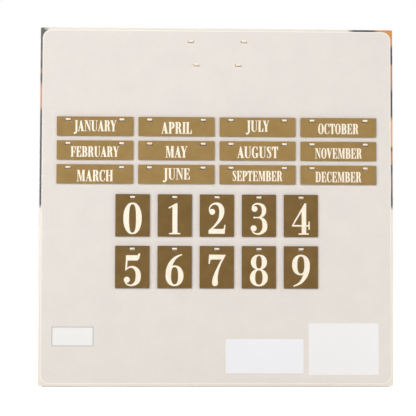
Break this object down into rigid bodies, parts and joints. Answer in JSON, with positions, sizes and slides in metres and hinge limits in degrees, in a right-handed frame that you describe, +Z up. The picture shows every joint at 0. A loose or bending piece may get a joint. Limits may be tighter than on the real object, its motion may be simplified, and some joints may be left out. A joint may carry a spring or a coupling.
{
  "type": "perpetual desk calendar",
  "caption": "Upright desk calendar: hanging month and number cards on flat hooks over a beige face, empty hooks for the day on display, and a hinged easel wing behind.",
  "frame": {"origin": "on the desk, in the middle of the base felt's underside", "axes": "+X to the right as seen from the front, +Y towards the back, +Z up"},
  "size_m": [0.203, 0.0976, 0.206],
  "materials": {
    "month_enamel": "eggshell ochre-tan enamel with raised cream lettering",
    "number_enamel": "eggshell umber-brown enamel with raised cream numerals",
    "cream_enamel": "satin cream enamel",
    "printed_paper": "coated printed paper, dark and amber above, cream below",
    "beige_card": "matte coated card with a white cut edge",
    "label_paper": "blank white paper",
    "label_blue": "blank bluish-white paper",
    "fibreboard": "raw fibreboard",
    "hardboard": "smooth hardboard",
    "back_panel": "stained hardboard",
    "pine": "planed pine",
    "felt": "pressed felt",
    "hinge_brass": "satin brass",
    "rivet_steel": "nickel-plated steel"
  },
  "bodies": {
    "case": {"case_wrap": "printed_paper", "case_top_board": "pine", "case_bottom_board": "pine", "case_left_board": "pine", "case_right_board": "pine", "corner_blocks": "pine", "face_board": "fibreboard", "face_sheet": "beige_card", "backing_sheet": "hardboard", "base_felt": "felt", "label_left": "label_paper", "label_centre": "label_blue", "label_right": "label_paper", "back_board": "back_panel", "wing_stop": "pine", "hinge_rivets_board": "rivet_steel", "turn_button_screws": "rivet_steel", "hooks_display": "cream_enamel", "hooks_month_row_1": "cream_enamel", "hooks_month_row_2": "cream_enamel", "hooks_month_row_3": "cream_enamel", "hooks_number_row_1": "cream_enamel", "hooks_number_row_2": "cream_enamel", "hinge_lower_fixed_leaf": "hinge_brass", "hinge_upper_fixed_leaf": "hinge_brass", "hinge_lower_pin": "hinge_brass", "hinge_upper_pin": "hinge_brass"},
    "wing": {"easel_wing": "back_panel", "hinge_rivets_wing": "rivet_steel", "wing_felt": "felt", "hinge_lower_moving_leaf": "hinge_brass", "hinge_upper_moving_leaf": "hinge_brass"},
    "turn_button_1": {"turn_button_1": "hinge_brass"},
    "turn_button_2": {"turn_button_2": "hinge_brass"},
    "turn_button_3": {"turn_button_3": "hinge_brass"},
    "turn_button_4": {"turn_button_4": "hinge_brass"},
    "month_card_january": {"month_card_january": "month_enamel"},
    "month_card_february": {"month_card_february": "month_enamel"},
    "month_card_march": {"month_card_march": "month_enamel"},
    "month_card_april": {"month_card_april": "month_enamel"},
    "month_card_may": {"month_card_may": "month_enamel"},
    "month_card_june": {"month_card_june": "month_enamel"},
    "month_card_july": {"month_card_july": "month_enamel"},
    "month_card_august": {"month_card_august": "month_enamel"},
    "month_card_september": {"month_card_september": "month_enamel"},
    "month_card_october": {"month_card_october": "month_enamel"},
    "month_card_november": {"month_card_november": "month_enamel"},
    "month_card_december": {"month_card_december": "month_enamel"},
    "number_card_0": {"number_card_0": "number_enamel"},
    "number_card_1": {"number_card_1": "number_enamel"},
    "number_card_2": {"number_card_2": "number_enamel"},
    "number_card_3": {"number_card_3": "number_enamel"},
    "number_card_4": {"number_card_4": "number_enamel"},
    "number_card_5": {"number_card_5": "number_enamel"},
    "number_card_6": {"number_card_6": "number_enamel"},
    "number_card_7": {"number_card_7": "number_enamel"},
    "number_card_8": {"number_card_8": "number_enamel"},
    "number_card_9": {"number_card_9": "number_enamel"}
  },
  "joints": [
    {"name": "wing_hinge", "type": "hinge", "parent": "case", "child": "wing", "pos_m": [0, 0.0172, 0.082], "axis": [0, 0, -1], "range_deg": [0, 90]},
    {"name": "turn_button_1_pivot", "type": "hinge", "parent": "case", "child": "turn_button_1", "pos_m": [-0.0982, 0.0157, 0.041], "axis": [0, -1, 0], "continuous": true},
    {"name": "turn_button_2_pivot", "type": "hinge", "parent": "case", "child": "turn_button_2", "pos_m": [0.0982, 0.0157, 0.041], "axis": [0, -1, 0], "continuous": true},
    {"name": "turn_button_3_pivot", "type": "hinge", "parent": "case", "child": "turn_button_3", "pos_m": [-0.0982, 0.0157, 0.166], "axis": [0, -1, 0], "continuous": true},
    {"name": "turn_button_4_pivot", "type": "hinge", "parent": "case", "child": "turn_button_4", "pos_m": [0.0982, 0.0157, 0.166], "axis": [0, -1, 0], "continuous": true},
    {"name": "month_card_january_swing", "type": "hinge", "parent": "case", "child": "month_card_january", "pos_m": [-0.06975, -0.0165, 0.1528], "axis": [-1, 0, 0], "range_deg": [0, 24]},
    {"name": "month_card_february_swing", "type": "hinge", "parent": "case", "child": "month_card_february", "pos_m": [-0.06975, -0.0165, 0.1391], "axis": [-1, 0, 0], "range_deg": [0, 24]},
    {"name": "month_card_march_swing", "type": "hinge", "parent": "case", "child": "month_card_march", "pos_m": [-0.06975, -0.0165, 0.1254], "axis": [-1, 0, 0], "range_deg": [0, 24]},
    {"name": "month_card_april_swing", "type": "hinge", "parent": "case", "child": "month_card_april", "pos_m": [-0.02325, -0.0165, 0.1528], "axis": [-1, 0, 0], "range_deg": [0, 24]},
    {"name": "month_card_may_swing", "type": "hinge", "parent": "case", "child": "month_card_may", "pos_m": [-0.02325, -0.0165, 0.1391], "axis": [-1, 0, 0], "range_deg": [0, 24]},
    {"name": "month_card_june_swing", "type": "hinge", "parent": "case", "child": "month_card_june", "pos_m": [-0.02325, -0.0165, 0.1254], "axis": [-1, 0, 0], "range_deg": [0, 24]},
    {"name": "month_card_july_swing", "type": "hinge", "parent": "case", "child": "month_card_july", "pos_m": [0.02325, -0.0165, 0.1528], "axis": [-1, 0, 0], "range_deg": [0, 24]},
    {"name": "month_card_august_swing", "type": "hinge", "parent": "case", "child": "month_card_august", "pos_m": [0.02325, -0.0165, 0.1391], "axis": [-1, 0, 0], "range_deg": [0, 24]},
    {"name": "month_card_september_swing", "type": "hinge", "parent": "case", "child": "month_card_september", "pos_m": [0.02325, -0.0165, 0.1254], "axis": [-1, 0, 0], "range_deg": [0, 24]},
    {"name": "month_card_october_swing", "type": "hinge", "parent": "case", "child": "month_card_october", "pos_m": [0.06975, -0.0165, 0.1528], "axis": [-1, 0, 0], "range_deg": [0, 24]},
    {"name": "month_card_november_swing", "type": "hinge", "parent": "case", "child": "month_card_november", "pos_m": [0.06975, -0.0165, 0.1391], "axis": [-1, 0, 0], "range_deg": [0, 24]},
    {"name": "month_card_december_swing", "type": "hinge", "parent": "case", "child": "month_card_december", "pos_m": [0.06975, -0.0165, 0.1254], "axis": [-1, 0, 0], "range_deg": [0, 24]},
    {"name": "number_card_0_swing", "type": "hinge", "parent": "case", "child": "number_card_0", "pos_m": [-0.0481, -0.0165, 0.1085], "axis": [-1, 0, 0], "range_deg": [0, 24]},
    {"name": "number_card_1_swing", "type": "hinge", "parent": "case", "child": "number_card_1", "pos_m": [-0.02405, -0.0165, 0.1085], "axis": [-1, 0, 0], "range_deg": [0, 24]},
    {"name": "number_card_2_swing", "type": "hinge", "parent": "case", "child": "number_card_2", "pos_m": [0, -0.0165, 0.1085], "axis": [-1, 0, 0], "range_deg": [0, 24]},
    {"name": "number_card_3_swing", "type": "hinge", "parent": "case", "child": "number_card_3", "pos_m": [0.02405, -0.0165, 0.1085], "axis": [-1, 0, 0], "range_deg": [0, 24]},
    {"name": "number_card_4_swing", "type": "hinge", "parent": "case", "child": "number_card_4", "pos_m": [0.0481, -0.0165, 0.1085], "axis": [-1, 0, 0], "range_deg": [0, 24]},
    {"name": "number_card_5_swing", "type": "hinge", "parent": "case", "child": "number_card_5", "pos_m": [-0.0481, -0.0165, 0.07905], "axis": [-1, 0, 0], "range_deg": [0, 24]},
    {"name": "number_card_6_swing", "type": "hinge", "parent": "case", "child": "number_card_6", "pos_m": [-0.02405, -0.0165, 0.07905], "axis": [-1, 0, 0], "range_deg": [0, 24]},
    {"name": "number_card_7_swing", "type": "hinge", "parent": "case", "child": "number_card_7", "pos_m": [0, -0.0165, 0.07905], "axis": [-1, 0, 0], "range_deg": [0, 24]},
    {"name": "number_card_8_swing", "type": "hinge", "parent": "case", "child": "number_card_8", "pos_m": [0.02405, -0.0165, 0.07905], "axis": [-1, 0, 0], "range_deg": [0, 24]},
    {"name": "number_card_9_swing", "type": "hinge", "parent": "case", "child": "number_card_9", "pos_m": [0.0481, -0.0165, 0.07905], "axis": [-1, 0, 0], "range_deg": [0, 24]}
  ]
}
